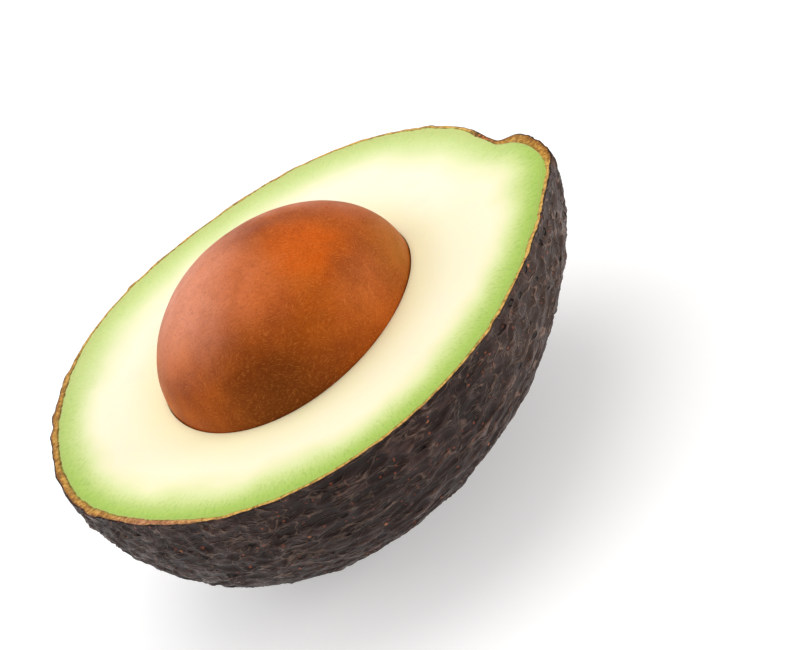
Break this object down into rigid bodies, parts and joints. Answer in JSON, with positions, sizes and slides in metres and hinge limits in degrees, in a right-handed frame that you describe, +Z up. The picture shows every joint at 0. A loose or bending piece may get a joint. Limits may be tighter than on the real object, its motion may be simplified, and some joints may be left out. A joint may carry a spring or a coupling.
{
  "type": "avocado half with pit",
  "caption": "Avocado half cut lengthwise: dark pebbly peel, green to cream flesh with a level cut face, and a brown pit standing proud of it.",
  "frame": {"origin": "under the middle of the outline, on the surface that the half rests on", "axes": "+X along the fruit towards the stem end, +Z up, square to the cut face"},
  "size_m": [0.0922, 0.0712, 0.0529],
  "materials": {
    "peel": "dark purplish brown, pebbled, dull satin",
    "flesh": "moist and smooth, green at the peel and cream at the pit",
    "seed_coat": "smooth reddish brown seed coat with a soft sheen"
  },
  "bodies": {
    "root": {"skin": "peel", "flesh": "flesh", "pit": "seed_coat"}
  },
  "joints": []
}
